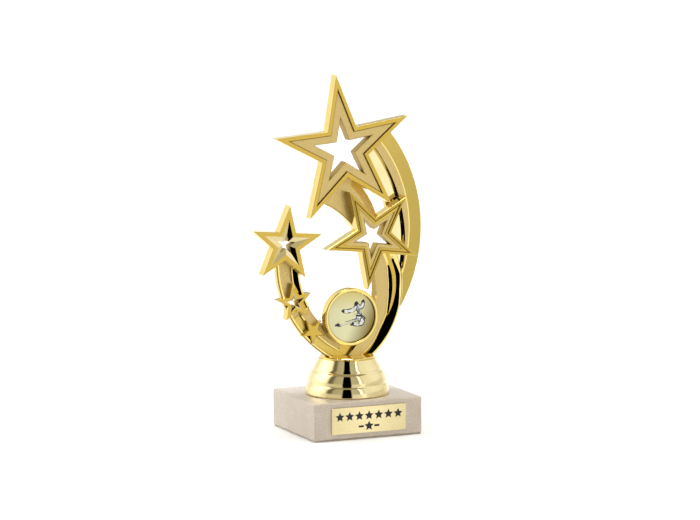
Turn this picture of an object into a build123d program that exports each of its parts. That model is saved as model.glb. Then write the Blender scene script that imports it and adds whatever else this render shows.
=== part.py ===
from build123d import *
from math import cos, hypot, radians, sin, sqrt
import os

# Star trophy: a moulded, metallised star figure on a stepped riser and a marble block.
# Millimetres. +Z up, the front faces -Y, the screw's axis is the Z axis, felt underside at z = 0.

# --- Base block ---
felt_thickness = 0.6
felt_margin = 0.4            # felt edge inside the marble edge
base_width = 59.0
base_depth = 52.0
base_height = 18.5
base_edge = 0.8              # rounding of the polished edges
plate_width = 40.6
plate_height = 13.2
plate_thickness = 0.5
plate_corner = 0.5
adhesive_thickness = 0.25
adhesive_margin = 1.0

# --- Riser ---
riser_height = 18.2
riser_top_radius = 14.4
riser_foot_radius = 21.35
riser_wall = 1.7
riser_roof = 2.2
tier_one_drop = 5.8          # height of the plain cone under the riser's top
tier_two_drop = 12.2         # from the top down to the second groove
tier_one_radius = 17.7
tier_two_radius = 20.0
groove_depth = 0.4
groove_width = 0.5
tier_step = 0.1              # each tier starts this much inside the one above
foot_lip = 0.5               # chamfer round the riser's foot

# --- Hardware (M5) ---
screw_diameter = 5.0
screw_overrun = 0.5          # thread standing out of the nut
screw_point = 0.6            # chamfer at the screw's end
head_height = 3.5
hex_flats = 8.0
nut_height = 4.0
washer_radius = 5.0
washer_thickness = 1.0
hole_clearance = 0.3         # on the radius, wherever the screw only passes through
thread_clearance = 0.05      # on the radius, between screw and nut
pocket_clearance = 0.1       # on the radius or the half width of a pocket
counterbore_radius = 7.0
counterbore_depth = 8.0

# --- Figure foot ---
flange_inset = 0.65          # flange edge inside the riser's top edge
flange_thickness = 1.0
plug_radius = 7.5
plug_length = 7.2
nut_floor = 2.5              # plastic left under the nut
web_setback = 3.0            # the web's face stands this far behind the ribbons' face
boss_height = 6.8            # where the cup's support begins, above the flange

# --- The figure's places are measured from here: this far right of the screw's axis ---
figure_shift = 1.3

# --- Depths along Y, given forwards of the screw's axis ---
ribbon_front = 2.5
ribbon_back = -3.0
star_depth = 6.0
cup_depth = 4.8
tiny_front = 4.5
tiny_back = -0.8
relief_depth = 1.4
peg_radius = 1.1
peg_length = 2.4

# --- Stars: centre x, centre height above the flange, tip radius, notch radius, turn ---
big_centre = (-6.3, 104.4)
big_tip = 38.2
big_notch = 13.35
big_turn = 6.9
big_rim = 2.0                # raised border
big_frame = 6.0              # outer edge to hole edge
big_recess = 0.8

middle_centre = (9.8, 60.2)
middle_tip = 26.6
middle_notch = 9.8
middle_turn = 29.4
middle_rim = 1.5
middle_frame = 4.7
middle_recess = 0.6

small_centre = (-37.7, 58.9)
small_tip = 19.6
small_notch = 7.6
small_turn = -5.3
small_rim = 2.15
small_frame = 4.6            # outer edge to the hole at the back
small_funnel = 1.25          # drop of the sloping face round the hole

tiny_centre = (-31.7, 29.1)
tiny_tip = 9.7
tiny_notch = 4.0
tiny_turn = 9.0
tiny_rim = 1.4
tiny_frame = 2.0
tiny_funnel = 0.45

relief_centre = (-21.4, 13.7)
relief_tip = 7.2
relief_notch = 2.9
relief_turn = 34.0

# --- Ribbons and crescent: circles as centre x, centre height above the flange, radius ---
left_outer = (17.4, 49.7, 58.2)
left_inner = (15.0, 47.4, 43.6)
left_top = 52.3
left_inner_end = 16.3
left_rim = 2.0
left_band_inner = 4.2        # band edge measured from the inner edge
left_groove = (1.0, 3.6)     # smooth groove, from the inner edge
left_band_heights = (21.0, 50.5)
left_groove_heights = (19.5, 50.5)
right_outer = (-17.75, 33.84, 45.86)
right_inner = (-29.4, 32.4, 43.1)
right_top = 53.4
right_inner_ends = (39.3, 25.6)
right_grooves = ((1.4, 3.2, 49.0), (5.7, 7.5, 45.5))  # from the edge, and the top end
right_merge = 16.0           # below this height the two grooves are one facet
crescent_outer = (-38.0, 63.0, 77.8)
crescent_step = (-49.2, 56.3, 78.4)
crescent_inner = (-104.7, 43.8, 128.6)
crescent_low = 22.8
crescent_high = 116.8
crescent_inner_ends = (80.2, 47.8)
strip_heights = (38.0, 108.0)
crescent_bevel = 7.6
bevel_drop = 2.4
strip_setback = 2.0          # the polished strip lies this far behind the band
relief_cut = 0.9             # depth of the ribbons' bands and grooves
back_bevel = (2.0, 1.5)      # left ribbon's outer back edge: depth, width

# --- Emblem ---
cup_centre = (-1.8, 20.2)
cup_wall = 1.75
cup_floor = 2.6
cup_edge = 0.4               # rounding of the cup's front edges
disc_radius = 12.7
disc_edge = 0.8
disc_crown = 0.7
disc_clearance = 0.15
pad_thickness = 0.6
pad_margin = 1.5

# --- Worked out from the sizes above ---
marble_top = felt_thickness + base_height
riser_top = marble_top + riser_height
seat = riser_top + flange_thickness          # the figure stands on the flange's top
head_seat = felt_thickness + counterbore_depth - washer_thickness
nut_seat = riser_top - plug_length + nut_floor
screw_length = nut_seat + nut_height + screw_overrun - head_seat
cup_radius = disc_radius + disc_clearance + cup_wall


def figure_plane(forward):
    """Plane that faces the front, with its origin on the flange's top."""
    return Plane(origin=(figure_shift, -forward, seat), x_dir=(1, 0, 0), z_dir=(0, -1, 0))


def inset_star(tip, notch, inset):
    """Tip and notch radius of the star whose edges lie inset inside the given one."""
    edge = hypot(tip * sin(radians(36)), tip * cos(radians(36)) - notch)
    reach = tip * notch * sin(radians(36)) / edge
    share = 1 - inset / reach
    return tip * share, notch * share


def star_face(centre, tip, notch, turn, mode=Mode.ADD):
    """Draw a five-pointed star in the sketch being made."""
    corners = []
    for step in range(10):
        reach = notch if step % 2 else tip
        angle = radians(90 + turn + 36 * step)
        corners.append((centre[0] + reach * cos(angle), centre[1] + reach * sin(angle)))
    with BuildLine() as outline:
        Polyline(*corners, close=True)
    make_face(outline.edges(), mode=mode)


def at_height(circle, height, side=1):
    """Point of a circle at a height, on its right side or its left side (-1)."""
    centre_x, centre_z, radius = circle
    return (centre_x + side * sqrt(radius**2 - (height - centre_z) ** 2), height)


def circle_arc(circle, start, end, side=1):
    """Arc of a circle from one height to another."""
    middle = (start + end) / 2
    ThreePointArc(at_height(circle, start, side), at_height(circle, middle, side),
                  at_height(circle, end, side))


def grown(circle, amount):
    """The same circle with a radius larger by amount."""
    return (circle[0], circle[1], circle[2] + amount)


def ring_piece(outer, inner, low, high, side=1):
    """Strip between two circles, cut off level at two heights."""
    with BuildLine() as outline:
        circle_arc(outer, low, high, side)
        Line(at_height(outer, high, side), at_height(inner, high, side))
        circle_arc(inner, high, low, side)
        Line(at_height(inner, low, side), at_height(outer, low, side))
    make_face(outline.edges())


def circle_edges(part, circle):
    """Edges of a part that follow the given circle."""
    arcs = part.edges().filter_by(GeomType.CIRCLE)
    return arcs.filter_by(lambda edge: abs(edge.radius - circle[2]) < 0.01)


def sockets(places, forward):
    """Cut the glue sockets for the pegs of a star, in the part being made."""
    with BuildSketch(figure_plane(forward)) as mouths:
        with Locations(*places):
            Circle(peg_radius + pocket_clearance)
    extrude(mouths.sketch, amount=-(peg_length + pocket_clearance), mode=Mode.SUBTRACT)


def pegs(places, forward, length):
    """Add glue pegs that point backwards, in the part being made."""
    with BuildSketch(figure_plane(forward)) as roots:
        with Locations(*places):
            Circle(peg_radius)
    extrude(roots.sketch, amount=-length)


# --- Where the stars' pegs stand ---
big_ribbon_peg = (-16.5, 83.3)
big_crescent_peg = (15.6, 112.8)
middle_upper_peg = (3.6, 75.0)
middle_right_peg = (10.2, 44.6)
middle_crescent_peg = (22.6, 72.8)
small_peg = (-32.0, 49.4)
strip_front = ribbon_front - strip_setback

# --- Base block and what is fixed to it ---
with BuildPart() as felt_sheet:
    with Locations((0, 0, felt_thickness / 2)):
        Box(base_width - 2 * felt_margin, base_depth - 2 * felt_margin, felt_thickness)
    fillet(felt_sheet.edges().filter_by(Axis.Z), base_edge)
felt_sheet.part.label = "felt_sheet"

with BuildPart() as marble_base:
    with Locations((0, 0, felt_thickness + base_height / 2)):
        Box(base_width, base_depth, base_height)
    fillet(marble_base.edges(), base_edge)
    with BuildSketch(Plane.XY.offset(felt_thickness)):
        Circle(counterbore_radius)
    extrude(amount=counterbore_depth, mode=Mode.SUBTRACT)
    with BuildSketch(Plane.XY.offset(felt_thickness)):
        Circle(screw_diameter / 2 + hole_clearance)
    extrude(amount=base_height, mode=Mode.SUBTRACT)
marble_base.part.label = "marble_base"

plate_plane = Plane(
    origin=(0, -base_depth / 2, felt_thickness + base_height / 2),
    x_dir=(1, 0, 0),
    z_dir=(0, -1, 0),
)

with BuildPart() as plate_adhesive:
    with BuildSketch(plate_plane):
        Rectangle(plate_width - 2 * adhesive_margin, plate_height - 2 * adhesive_margin)
    extrude(amount=adhesive_thickness)
plate_adhesive.part.label = "plate_adhesive"

with BuildPart() as name_plate:
    with BuildSketch(plate_plane.offset(adhesive_thickness)):
        RectangleRounded(plate_width, plate_height, plate_corner)
    extrude(amount=plate_thickness)
name_plate.part.label = "name_plate"

# --- Riser: three tiers turned about the screw's axis, hollow and open below ---
tier_one_foot = riser_height - tier_one_drop
tier_two_foot = riser_height - tier_two_drop
tier_two_head = tier_one_foot - groove_width
tier_three_head = tier_two_foot - groove_width
head_two_radius = tier_one_radius - tier_step
head_three_radius = tier_two_radius - tier_step

with BuildPart() as riser:
    with BuildSketch(Plane.XZ.shift_origin((0, 0, marble_top))):
        with BuildLine():
            Polyline(
                (0, 0),
                (riser_foot_radius - foot_lip, 0),
                (riser_foot_radius, foot_lip),
            )
            ThreePointArc(
                (riser_foot_radius, foot_lip),
                (
                    0.38 * head_three_radius + 0.62 * riser_foot_radius,
                    0.55 * tier_three_head,
                ),
                (head_three_radius, tier_three_head),
            )
            Polyline(
                (head_three_radius, tier_three_head),
                (head_three_radius - groove_depth, (tier_three_head + tier_two_foot) / 2),
                (tier_two_radius, tier_two_foot),
            )
            ThreePointArc(
                (tier_two_radius, tier_two_foot),
                (
                    0.3 * head_two_radius + 0.7 * tier_two_radius,
                    (tier_two_foot + tier_two_head) / 2,
                ),
                (head_two_radius, tier_two_head),
            )
            Polyline(
                (head_two_radius, tier_two_head),
                (head_two_radius - groove_depth, (tier_two_head + tier_one_foot) / 2),
                (tier_one_radius, tier_one_foot),
                (riser_top_radius, riser_height),
                (0, riser_height),
                (0, 0),
            )
        make_face()
    revolve(axis=Axis.Z)
    with BuildSketch(Plane.XZ.shift_origin((0, 0, marble_top))):
        with BuildLine():
            Polyline(
                (0, 0),
                (tier_two_radius - riser_wall + 0.8, 0),
                (riser_top_radius - riser_wall, riser_height - riser_roof),
                (0, riser_height - riser_roof),
                close=True,
            )
        make_face()
    revolve(axis=Axis.Z, mode=Mode.SUBTRACT)
    with BuildSketch(Plane.XY.offset(riser_top)):
        Circle(plug_radius + pocket_clearance)
    extrude(amount=-2 * riser_roof, mode=Mode.SUBTRACT)
riser.part.label = "riser"

# --- Figure foot: flange, plug with the nut's pocket, and the web under the cup ---
web_outline = [(-10.2, 0), (-3.5, 6.3), (-3.5, 10.8), (2.0, 10.8), (3.5, 6.3), (-1.5, 0)]
boss_outline = [(-3.5, boss_height), (-3.5, 10.8), (2.0, 10.8), (3.3, boss_height)]

with BuildPart() as figure_foot:
    with BuildSketch(Plane.XY.offset(riser_top)):
        Circle(riser_top_radius - flange_inset)
    extrude(amount=flange_thickness)
    with BuildSketch(Plane.XY.offset(riser_top)):
        Circle(plug_radius)
    extrude(amount=-plug_length)
    with BuildSketch(Plane.XY.offset(nut_seat)):
        RegularPolygon(hex_flats / 2 + pocket_clearance, 6, major_radius=False)
    extrude(amount=seat - nut_seat, mode=Mode.SUBTRACT)
    with BuildSketch(Plane.XY.offset(seat)):
        Circle(screw_diameter / 2 + hole_clearance)
    extrude(amount=-(flange_thickness + plug_length), mode=Mode.SUBTRACT)
    with BuildSketch(figure_plane(ribbon_back)):
        with BuildLine():
            Polyline(*web_outline, close=True)
        make_face()
    extrude(amount=ribbon_front - ribbon_back - web_setback)
    with BuildSketch(figure_plane(ribbon_back)):
        with BuildLine():
            Polyline(*boss_outline, close=True)
        make_face()
    extrude(amount=ribbon_front - ribbon_back)
figure_foot.part.label = "figure_foot"

with BuildPart() as hex_nut:
    with BuildSketch(Plane.XY.offset(nut_seat)):
        RegularPolygon(hex_flats / 2, 6, major_radius=False)
        Circle(screw_diameter / 2 + thread_clearance, mode=Mode.SUBTRACT)
    extrude(amount=nut_height)
hex_nut.part.label = "hex_nut"

with BuildPart() as washer:
    with BuildSketch(Plane.XY.offset(head_seat)):
        Circle(washer_radius)
        Circle(screw_diameter / 2 + hole_clearance, mode=Mode.SUBTRACT)
    extrude(amount=washer_thickness)
washer.part.label = "washer"

with BuildPart() as fixing_screw:
    with BuildSketch(Plane.XY.offset(head_seat)):
        RegularPolygon(hex_flats / 2, 6, major_radius=False)
    extrude(amount=-head_height)
    with BuildSketch(Plane.XY.offset(head_seat)):
        Circle(screw_diameter / 2)
    extrude(amount=screw_length)
    chamfer(fixing_screw.faces().sort_by(Axis.Z)[-1].edges(), screw_point)
fixing_screw.part.label = "fixing_screw"

# --- Left ribbon: carries the small, tiny and relief stars ---
with BuildPart() as left_ribbon:
    with BuildSketch(figure_plane(ribbon_back)):
        with BuildLine():
            circle_arc(left_outer, 0, left_top, -1)
            Line(at_height(left_outer, left_top, -1), at_height(left_inner, left_top, -1))
            circle_arc(left_inner, left_top, left_inner_end, -1)
            Polyline(
                at_height(left_inner, left_inner_end, -1),
                (-9.5, 17.8),
                web_outline[2],
                web_outline[1],
                web_outline[0],
                at_height(left_outer, 0, -1),
            )
        make_face()
    extrude(amount=ribbon_front - ribbon_back)
    back_edge = circle_edges(left_ribbon, left_outer).sort_by(Axis.Y)[-1]
    back_face = left_ribbon.faces().sort_by(Axis.Y)[-1]
    chamfer(back_edge, back_bevel[1], back_bevel[0], reference=back_face)
    with BuildSketch(figure_plane(ribbon_front)):
        ring_piece(
            grown(left_outer, -left_rim), grown(left_inner, left_band_inner),
            *left_band_heights, -1,
        )
        ring_piece(
            grown(left_inner, left_groove[1]), grown(left_inner, left_groove[0]),
            *left_groove_heights, -1,
        )
    extrude(amount=-relief_cut, mode=Mode.SUBTRACT)
    with BuildSketch(figure_plane(tiny_back)):
        star_face(
            tiny_centre, tiny_tip + 3 * pocket_clearance, tiny_notch + pocket_clearance, tiny_turn
        )
    extrude(amount=ribbon_front - tiny_back + 1, mode=Mode.SUBTRACT)
    with BuildSketch(figure_plane(ribbon_back)):
        star_face(tiny_centre, *inset_star(tiny_tip, tiny_notch, tiny_frame), tiny_turn)
    extrude(amount=tiny_back - ribbon_back, mode=Mode.SUBTRACT)
    sockets([small_peg], ribbon_front)
left_ribbon.part.label = "left_ribbon"

# --- Right ribbon: rises from the foot to the middle star ---
with BuildPart() as right_ribbon:
    with BuildSketch(figure_plane(ribbon_back)) as right_outline:
        with BuildLine():
            circle_arc(right_outer, 0, right_top)
            Polyline(
                at_height(right_outer, right_top),
                (16.4, 53.2),
                (13.9, 49.3),
                (11.5, 47.0),
                (8.2, 46.8),
                (8.4, 43.3),
                at_height(right_inner, right_inner_ends[0]),
            )
            circle_arc(right_inner, *right_inner_ends)
            Polyline(
                at_height(right_inner, right_inner_ends[1]),
                (8.0, 22.8),
                web_outline[3],
                web_outline[4],
                web_outline[5],
                at_height(right_outer, 0),
            )
        make_face()
    extrude(amount=ribbon_front - ribbon_back)
    with BuildSketch(figure_plane(ribbon_front)):
        for near, far, top in right_grooves:
            ring_piece(grown(right_outer, -near), grown(right_outer, -far), right_merge, top)
        facet_far = right_grooves[1][1]
        facet_near = right_grooves[0][0]
        ring_piece(grown(right_outer, -facet_near), grown(right_outer, -facet_far), 0, right_merge)
    extrude(amount=-relief_cut, mode=Mode.SUBTRACT)
    sockets([middle_right_peg], ribbon_front)
right_ribbon.part.label = "right_ribbon"

# --- Upper ribbon: joins the middle star to the big one ---
with BuildPart() as upper_ribbon:
    with BuildSketch(figure_plane(ribbon_back)):
        with BuildLine():
            ThreePointArc((2.8, 62.8), (-7.1, 73.0), (-19.8, 79.3))
            Polyline(
                (-19.8, 79.3),
                (-18.2, 86.3),
                (-14.5, 87.8),
                (-11.5, 87.4),
                (-3.0, 92.8),
                (2.2, 91.8),
                (2.5, 88.8),
            )
            ThreePointArc((2.5, 88.8), (10.0, 79.8), (14.6, 69.3))
            Polyline((14.6, 69.3), (10.0, 69.8), (4.6, 72.6), (3.2, 66.8), (2.8, 62.8))
        make_face()
    extrude(amount=ribbon_front - ribbon_back)
    sockets([big_ribbon_peg, middle_upper_peg], ribbon_front)
upper_ribbon.part.label = "upper_ribbon"

# --- Outer crescent: butts against the right ribbon and rises behind the big star ---
with BuildPart() as outer_crescent:
    with BuildSketch(figure_plane(ribbon_back)):
        with BuildLine():
            circle_arc(crescent_outer, crescent_low, crescent_high)
            Polyline(
                at_height(crescent_outer, crescent_high),
                (13.2, 112.8),
                (11.5, 108.0),
                (6.8, 102.6),
                (10.8, 91.8),
                at_height(crescent_inner, crescent_inner_ends[0]),
            )
            circle_arc(crescent_inner, *crescent_inner_ends)
            Polyline(
                at_height(crescent_inner, crescent_inner_ends[1]),
                (22.0, crescent_low),
                at_height(crescent_outer, crescent_low),
            )
        make_face()
        add(right_outline.sketch_local, mode=Mode.SUBTRACT)
    extrude(amount=ribbon_front - ribbon_back)
    outer_edge = circle_edges(outer_crescent, crescent_outer).sort_by(Axis.Y)[0]
    front_face = outer_crescent.faces().sort_by(Axis.Y)[0]
    chamfer(outer_edge, crescent_bevel, bevel_drop, reference=front_face)
    with BuildSketch(figure_plane(ribbon_front)):
        with BuildLine():
            circle_arc(crescent_step, *strip_heights)
            Polyline(
                at_height(crescent_step, strip_heights[1]),
                (-5, strip_heights[1]),
                (-5, strip_heights[0]),
                at_height(crescent_step, strip_heights[0]),
            )
        make_face()
    extrude(amount=-strip_setback, mode=Mode.SUBTRACT)
    sockets([big_crescent_peg], ribbon_front)
    sockets([middle_crescent_peg], strip_front)
outer_crescent.part.label = "outer_crescent"


def frame_star(centre, tip, notch, turn, rim, frame, recess):
    """Open star frame with a raised rim round a sunk band, in the part being made."""
    with BuildSketch(figure_plane(ribbon_front)) as body:
        star_face(centre, tip, notch, turn)
        star_face(centre, *inset_star(tip, notch, frame), turn, Mode.SUBTRACT)
    extrude(body.sketch, amount=star_depth)
    with BuildSketch(figure_plane(ribbon_front + star_depth)) as band:
        star_face(centre, *inset_star(tip, notch, rim), turn)
    extrude(band.sketch, amount=-recess, mode=Mode.SUBTRACT)


# --- Stars ---
with BuildPart() as big_star:
    frame_star(big_centre, big_tip, big_notch, big_turn, big_rim, big_frame, big_recess)
    pegs([big_ribbon_peg, big_crescent_peg], ribbon_front, peg_length)
big_star.part.label = "big_star"

with BuildPart() as middle_star:
    frame_star(middle_centre, middle_tip, middle_notch, middle_turn, middle_rim, middle_frame,
               middle_recess)
    pegs([middle_upper_peg, middle_right_peg], ribbon_front, peg_length)
    pegs([middle_crescent_peg], ribbon_front, strip_setback + peg_length)
middle_star.part.label = "middle_star"

with BuildPart() as small_star:
    small_mouth = inset_star(small_tip, small_notch, small_rim)
    small_hole = inset_star(small_tip, small_notch, small_frame)
    with BuildSketch(figure_plane(ribbon_front)):
        star_face(small_centre, small_tip, small_notch, small_turn)
        star_face(small_centre, *small_hole, small_turn, Mode.SUBTRACT)
    extrude(amount=star_depth)
    with BuildSketch(figure_plane(ribbon_front + star_depth - small_funnel)):
        star_face(small_centre, *small_hole, small_turn)
    with BuildSketch(figure_plane(ribbon_front + star_depth)):
        star_face(small_centre, *small_mouth, small_turn)
    loft(ruled=True, mode=Mode.SUBTRACT)
    pegs([small_peg], ribbon_front, peg_length)
small_star.part.label = "small_star"

with BuildPart() as tiny_star:
    tiny_mouth = inset_star(tiny_tip, tiny_notch, tiny_rim)
    tiny_hole = inset_star(tiny_tip, tiny_notch, tiny_frame)
    with BuildSketch(figure_plane(tiny_back)):
        star_face(tiny_centre, tiny_tip, tiny_notch, tiny_turn)
        star_face(tiny_centre, *tiny_hole, tiny_turn, Mode.SUBTRACT)
    extrude(amount=tiny_front - tiny_back)
    with BuildSketch(figure_plane(tiny_front - tiny_funnel)):
        star_face(tiny_centre, *tiny_hole, tiny_turn)
    with BuildSketch(figure_plane(tiny_front)):
        star_face(tiny_centre, *tiny_mouth, tiny_turn)
    loft(ruled=True, mode=Mode.SUBTRACT)
tiny_star.part.label = "tiny_star"

with BuildPart() as relief_star:
    with BuildSketch(figure_plane(ribbon_front)):
        star_face(relief_centre, relief_tip, relief_notch, relief_turn)
    extrude(amount=relief_depth)
relief_star.part.label = "relief_star"

# --- Emblem: cup, adhesive pad and domed disc ---
cup_plane = figure_plane(ribbon_front)

with BuildPart() as emblem_cup:
    with BuildSketch(cup_plane):
        with Locations(cup_centre):
            Circle(cup_radius)
    extrude(amount=cup_depth)
    with BuildSketch(cup_plane.offset(cup_floor)):
        with Locations(cup_centre):
            Circle(disc_radius + disc_clearance)
    extrude(amount=cup_depth - cup_floor, mode=Mode.SUBTRACT)
    fillet(emblem_cup.edges().group_by(Axis.Y)[0], cup_edge)
emblem_cup.part.label = "emblem_cup"

with BuildPart() as emblem_adhesive:
    with BuildSketch(cup_plane.offset(cup_floor)):
        with Locations(cup_centre):
            Circle(disc_radius - pad_margin)
    extrude(amount=pad_thickness)
emblem_adhesive.part.label = "emblem_adhesive"

disc_base = ribbon_front + cup_floor + pad_thickness
crown_radius = (disc_radius**2 + disc_crown**2) / (2 * disc_crown)

with BuildPart() as emblem_disc:
    with BuildSketch(figure_plane(disc_base)):
        with Locations(cup_centre):
            Circle(disc_radius)
    extrude(amount=disc_edge + disc_crown)
    with Locations((
        figure_shift + cup_centre[0],
        -(disc_base + disc_edge + disc_crown - crown_radius),
        seat + cup_centre[1],
    )):
        Sphere(crown_radius, mode=Mode.INTERSECT)
emblem_disc.part.label = "emblem_disc"

pieces = [
    felt_sheet, marble_base, plate_adhesive, name_plate, riser, figure_foot, hex_nut, washer,
    fixing_screw, left_ribbon, right_ribbon, upper_ribbon, outer_crescent, big_star, middle_star,
    small_star, tiny_star, relief_star, emblem_cup, emblem_adhesive, emblem_disc,
]

os.makedirs("parts", exist_ok=True)
for piece in pieces:
    export_step(piece.part, f"parts/{piece.part.label}.step")
    print(piece.part.label, round(piece.part.volume, 1))
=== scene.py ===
import bpy
import bmesh
import numpy as np
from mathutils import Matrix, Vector


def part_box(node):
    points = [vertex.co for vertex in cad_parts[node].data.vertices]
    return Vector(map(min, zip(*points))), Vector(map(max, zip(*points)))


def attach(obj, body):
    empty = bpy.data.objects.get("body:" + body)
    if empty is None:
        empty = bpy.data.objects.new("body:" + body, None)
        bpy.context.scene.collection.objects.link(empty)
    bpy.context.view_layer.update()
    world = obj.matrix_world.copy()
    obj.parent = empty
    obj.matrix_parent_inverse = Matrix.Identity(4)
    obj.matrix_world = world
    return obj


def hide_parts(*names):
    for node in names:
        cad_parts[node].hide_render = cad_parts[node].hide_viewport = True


# A star trophy: moulded and metallised plastic stars and ribbons over a stepped riser and a marble block.
# Shapes are worked out in millimetres: x to the right, z up, and "forward" is -y, towards the front.

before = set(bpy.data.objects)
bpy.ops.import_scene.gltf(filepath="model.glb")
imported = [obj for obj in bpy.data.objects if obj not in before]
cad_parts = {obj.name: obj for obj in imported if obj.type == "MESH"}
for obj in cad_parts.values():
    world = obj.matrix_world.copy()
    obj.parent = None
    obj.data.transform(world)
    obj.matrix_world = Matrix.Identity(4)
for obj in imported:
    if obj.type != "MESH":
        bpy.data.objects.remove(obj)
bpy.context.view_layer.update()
scene = bpy.context.scene
mm = 0.001
print("frame loaded:", len(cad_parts), "nodes")


def lowest(node, axis):
    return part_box(node)[0][axis] / mm


def highest(node, axis):
    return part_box(node)[1][axis] / mm


# Levels read from the frame
seat = lowest("left_ribbon", 2)                # the figure stands here, on its flange
ribbonFront = -lowest("left_ribbon", 1)
ribbonBack = -highest("left_ribbon", 1)
starFront = -lowest("big_star", 1)
cupFront = -lowest("emblem_cup", 1)
tinyFront = -lowest("tiny_star", 1)
tinyBack = -highest("tiny_star", 1)
reliefFront = -lowest("relief_star", 1)
marbleTop = highest("marble_base", 2)
riserTop = highest("riser", 2)
figureShift = 1.3                              # the figure stands this far right of the screw's axis

cameraView = {"azimuth": -24.4, "elevation": 8.13, "distance": 1800.0, "height": 94.0,
              "slideRight": 1.5, "slideUp": -7.46, "lens": 184.6, "sensor": 36.0}


def placeCamera(view):
    turn, lift = np.radians(view["azimuth"]), np.radians(view["elevation"])
    back = np.array([np.sin(turn) * np.cos(lift), -np.cos(turn) * np.cos(lift), np.sin(lift)])
    right = np.array([np.cos(turn), np.sin(turn), 0.0])
    up = np.cross(back, right)
    spot = (np.array([0, 0, view["height"]]) + back * view["distance"]
            + right * view["slideRight"] + up * view["slideUp"]) * mm
    data = bpy.data.cameras.new("camera")
    data.lens, data.sensor_width = view["lens"], view["sensor"]
    data.clip_end = 50
    camera = bpy.data.objects.new("camera", data)
    scene.collection.objects.link(camera)
    camera.location = spot
    camera.rotation_euler = Vector(back).to_track_quat("Z", "Y").to_euler()
    scene.camera = camera


placeCamera(cameraView)


def linear(hexColour):
    srgb = np.array([int(hexColour[i:i + 2], 16) for i in (1, 3, 5)]) / 255
    light = np.where(srgb <= 0.04045, srgb / 12.92, ((srgb + 0.055) / 1.055) ** 2.4)
    return (*light.tolist(), 1.0)


# Fills a node's inputs with values, colours given in hex, or links.
def fill(tree, node, inputs):
    for name, value in inputs.items():
        if isinstance(value, bpy.types.NodeSocket):
            tree.links.new(value, node.inputs[name])
        else:
            node.inputs[name].default_value = linear(value) if isinstance(value, str) else value


def addNode(tree, kind, inputs=None, **settings):
    made = tree.nodes.new(kind)
    for name, value in settings.items():
        setattr(made, name, value)
    fill(tree, made, inputs or {})
    return made


def newMaterial(name):
    material = bpy.data.materials.new(name)
    material.use_nodes = True
    tree = material.node_tree
    shader = tree.nodes["Principled BSDF"]
    place = addNode(tree, "ShaderNodeTexCoord").outputs["Object"]
    return material, tree, shader, place


def perMetre(sizeInMm):
    return 1 / (sizeInMm * mm)


def calculate(tree, operation, *values):
    made = addNode(tree, "ShaderNodeMath", dict(enumerate(values)), operation=operation)
    return made.outputs[0]


# Noise whose lumps are about size millimetres across.
def grain(tree, place, size, detail=2.0, rough=0.5):
    made = addNode(tree, "ShaderNodeTexNoise",
                   {"Vector": place, "Scale": perMetre(size), "Detail": detail, "Roughness": rough})
    return made.outputs["Fac"]


# Distance to the nearest of scattered points, which lie about size millimetres apart.
def cells(tree, place, size):
    made = addNode(tree, "ShaderNodeTexVoronoi", {"Vector": place, "Scale": perMetre(size)})
    return made.outputs["Distance"]


# Stretches a value that lies between start and end to one between low and high.
def span(tree, value, low=0, high=1, start=0.35, end=0.65):
    made = addNode(tree, "ShaderNodeMapRange",
                   {"Value": value, "From Min": start, "From Max": end, "To Min": low, "To Max": high})
    return made.outputs["Result"]


# Goes from the first colour to the second as the share goes from 0 to 1.
def blend(tree, share, first, second):
    return addNode(tree, "ShaderNodeMix", {0: share, 6: first, 7: second}, data_type="RGBA").outputs[2]


# Raises the surface by depth millimetres where the height is 1.
def bump(tree, height, depth):
    return addNode(tree, "ShaderNodeBump", {"Height": height, "Distance": depth * mm}).outputs["Normal"]


# Vacuum-metallised ABS under a gold lacquer, as it comes off a polished mould: mirror bright, with a
# little unevenness in the lacquer and faint waviness in the plastic below.
def metallisedGold(name, pale, deep, roughness, wave=0.006):
    material, tree, shader, place = newMaterial(name)
    fill(tree, shader, {
        "Base Color": blend(tree, span(tree, grain(tree, place, 9.0)), pale, deep), "Metallic": 1.0,
        "Roughness": span(tree, grain(tree, place, 2.5, 4.0), roughness * 0.8, roughness * 1.3),
        "Normal": bump(tree, grain(tree, place, 3.0), wave)})
    return material


# A material with one noise that shades its colour, and its roughness where that is given as a pair,
# and one that raises its surface. Each noise is its size in millimetres, then detail and roughness.
def grainy(name, colours, tint, relief, depth, roughness, edges=(0.35, 0.65), more=None):
    material, tree, shader, place = newMaterial(name)
    lumps = grain(tree, place, *tint)
    if isinstance(roughness, tuple):
        roughness = span(tree, lumps, *roughness)
    share = span(tree, lumps, start=edges[0], end=edges[1])
    fill(tree, shader, {"Base Color": blend(tree, share, *colours), "Roughness": roughness,
                        "Normal": bump(tree, grain(tree, place, *relief), depth), **(more or {})})
    return material


# The same metallised plastic over a spark-eroded mould face: a fine sand grain, drawn a little
# coarser than life so that it shows, scatters the light and looks paler and duller than the rims.
def sandedGold(name, pale, deep, grit, depth, roughness):
    sand = (grit, 3.0, 0.6)
    return grainy(name, (deep, pale), sand, sand, depth, roughness, (0.38, 0.62), {"Metallic": 1.0})


polishedGold = metallisedGold("polished_gold", "#F4DD8C", "#EFD67E", 0.07)
riserGold = metallisedGold("mirror_gold", "#F4E3AE", "#EFDCA0", 0.045, 0.004)
satinGold = sandedGold("satin_gold", "#DABC5C", "#CCA946", 0.30, 0.008, 0.24)
sandGold = sandedGold("sanded_gold", "#F1DA98", "#D4B46A", 0.32, 0.05, 0.42)
bevelGold = sandedGold("fine_satin_gold", "#E6CB6E", "#DBBD60", 0.45, 0.004, 0.30)
# shaded_gold is a darker, olive copy of the gold. As the finish shaded it is laid on the walls of holes, grooves
# and steps, on chamfers and in funnels: painted shade.
shadedGold = sandedGold("shaded_gold", "#B89A48", "#A38538", 0.40, 0.012, 0.34)
goldSet = [polishedGold, sandGold, satinGold, bevelGold, riserGold, shadedGold]
polished, sanded, satin, bevelled, mirror, shaded = range(6)


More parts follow.
